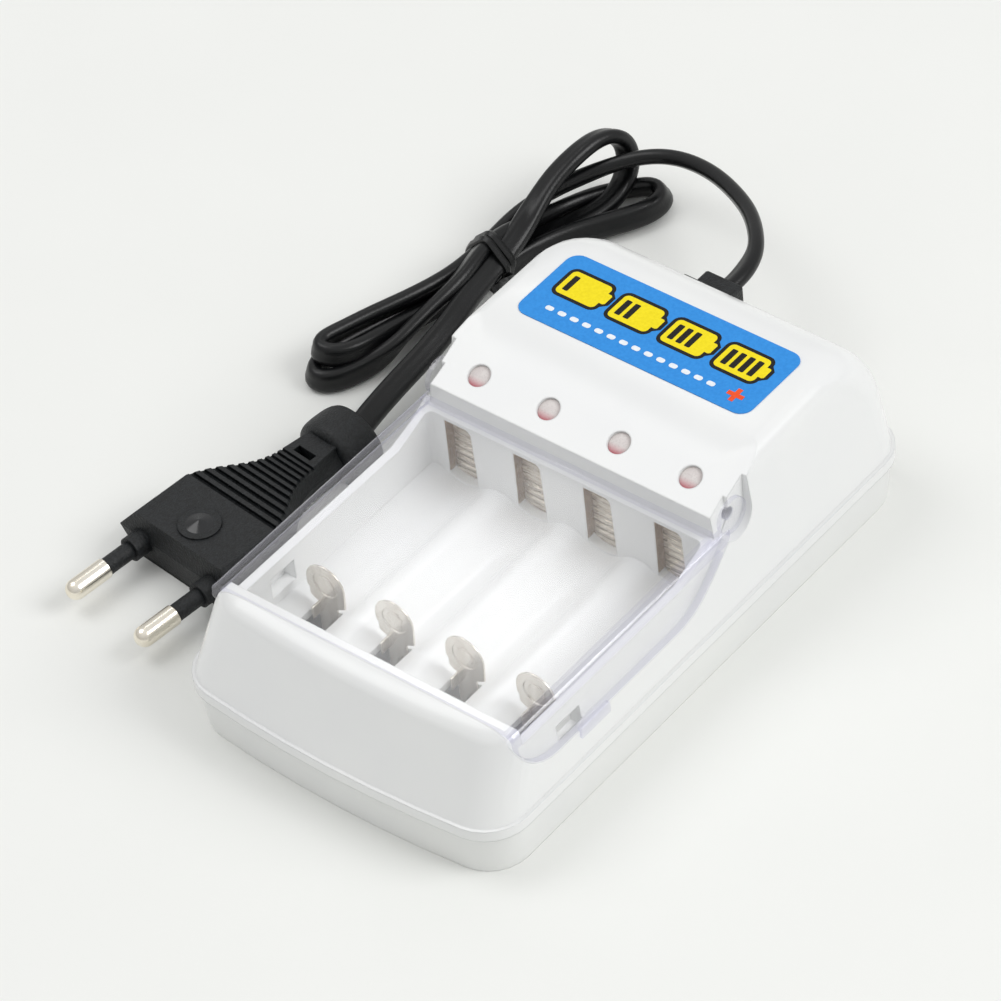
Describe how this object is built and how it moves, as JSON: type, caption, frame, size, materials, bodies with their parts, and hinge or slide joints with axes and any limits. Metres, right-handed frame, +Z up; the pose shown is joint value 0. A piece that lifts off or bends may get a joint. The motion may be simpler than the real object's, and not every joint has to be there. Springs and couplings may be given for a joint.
{
  "type": "battery charger",
  "caption": "Mains charger for AA and AAA cells: white case with a battery bay under a clear hinged lid, raised head with lamps and a label, tied flat cord and flat two-pin plug.",
  "frame": {"origin": "centre of the base, on the surface that the charger stands on", "axes": "+X to the right of the battery bay, +Y towards the head and the cord, +Z up"},
  "size_m": [0.1141, 0.1607, 0.0376],
  "materials": {
    "case_white": "white moulded ABS, glossy",
    "lid_clear": "clear moulded polystyrene, polished",
    "label_blue": "printed film label",
    "contact_nickel": "nickel-plated stamped steel",
    "spring_steel": "drawn steel wire",
    "board_phenolic": "brown phenolic board",
    "transformer_tape": "yellow tape over a ferrite core",
    "capacitor_sleeve": "shrink sleeve",
    "led_red": "red diffused epoxy",
    "screw_steel": "plated steel",
    "cord_black": "black soft PVC",
    "plug_black": "black moulded PVC, fine grain",
    "pin_nickel": "nickel-plated brass"
  },
  "bodies": {
    "charger": {"upper_case": "case_white", "lower_case": "case_white", "label": "label_blue", "positive_contact_1": "contact_nickel", "positive_contact_2": "contact_nickel", "positive_contact_3": "contact_nickel", "positive_contact_4": "contact_nickel", "slider_spring_1": "spring_steel", "slider_spring_2": "spring_steel", "slider_spring_3": "spring_steel", "slider_spring_4": "spring_steel", "negative_bus": "contact_nickel", "circuit_board": "board_phenolic", "transformer": "transformer_tape", "filter_capacitor": "capacitor_sleeve", "led_1": "led_red", "led_2": "led_red", "led_3": "led_red", "led_4": "led_red", "case_screws": "screw_steel", "strain_relief": "cord_black", "power_cord": "cord_black", "cord_hank": "cord_black", "plug_lead": "cord_black", "cable_tie": "cord_black", "plug_body": "plug_black", "plug_pins": "pin_nickel"},
    "lid": {"battery_lid": "lid_clear"},
    "slider_1": {"negative_slider_1": "contact_nickel"},
    "slider_2": {"negative_slider_2": "contact_nickel"},
    "slider_3": {"negative_slider_3": "contact_nickel"},
    "slider_4": {"negative_slider_4": "contact_nickel"}
  },
  "joints": [
    {"name": "lid_hinge", "type": "hinge", "parent": "charger", "child": "lid", "pos_m": [0, 0.0128, 0.0286], "axis": [1, 0, 0], "range_deg": [-110, 0]},
    {"name": "slider_1_slide", "type": "slide", "parent": "charger", "child": "slider_1", "axis": [0, -1, 0], "range_m": [0, 0.011], "stiffness_N_per_m": 200, "springref_m": -0.004, "deforming": ["slider_spring_1"]},
    {"name": "slider_2_slide", "type": "slide", "parent": "charger", "child": "slider_2", "axis": [0, -1, 0], "range_m": [0, 0.011], "stiffness_N_per_m": 200, "springref_m": -0.004, "deforming": ["slider_spring_2"]},
    {"name": "slider_3_slide", "type": "slide", "parent": "charger", "child": "slider_3", "axis": [0, -1, 0], "range_m": [0, 0.011], "stiffness_N_per_m": 200, "springref_m": -0.004, "deforming": ["slider_spring_3"]},
    {"name": "slider_4_slide", "type": "slide", "parent": "charger", "child": "slider_4", "axis": [0, -1, 0], "range_m": [0, 0.011], "stiffness_N_per_m": 200, "springref_m": -0.004, "deforming": ["slider_spring_4"]}
  ]
}
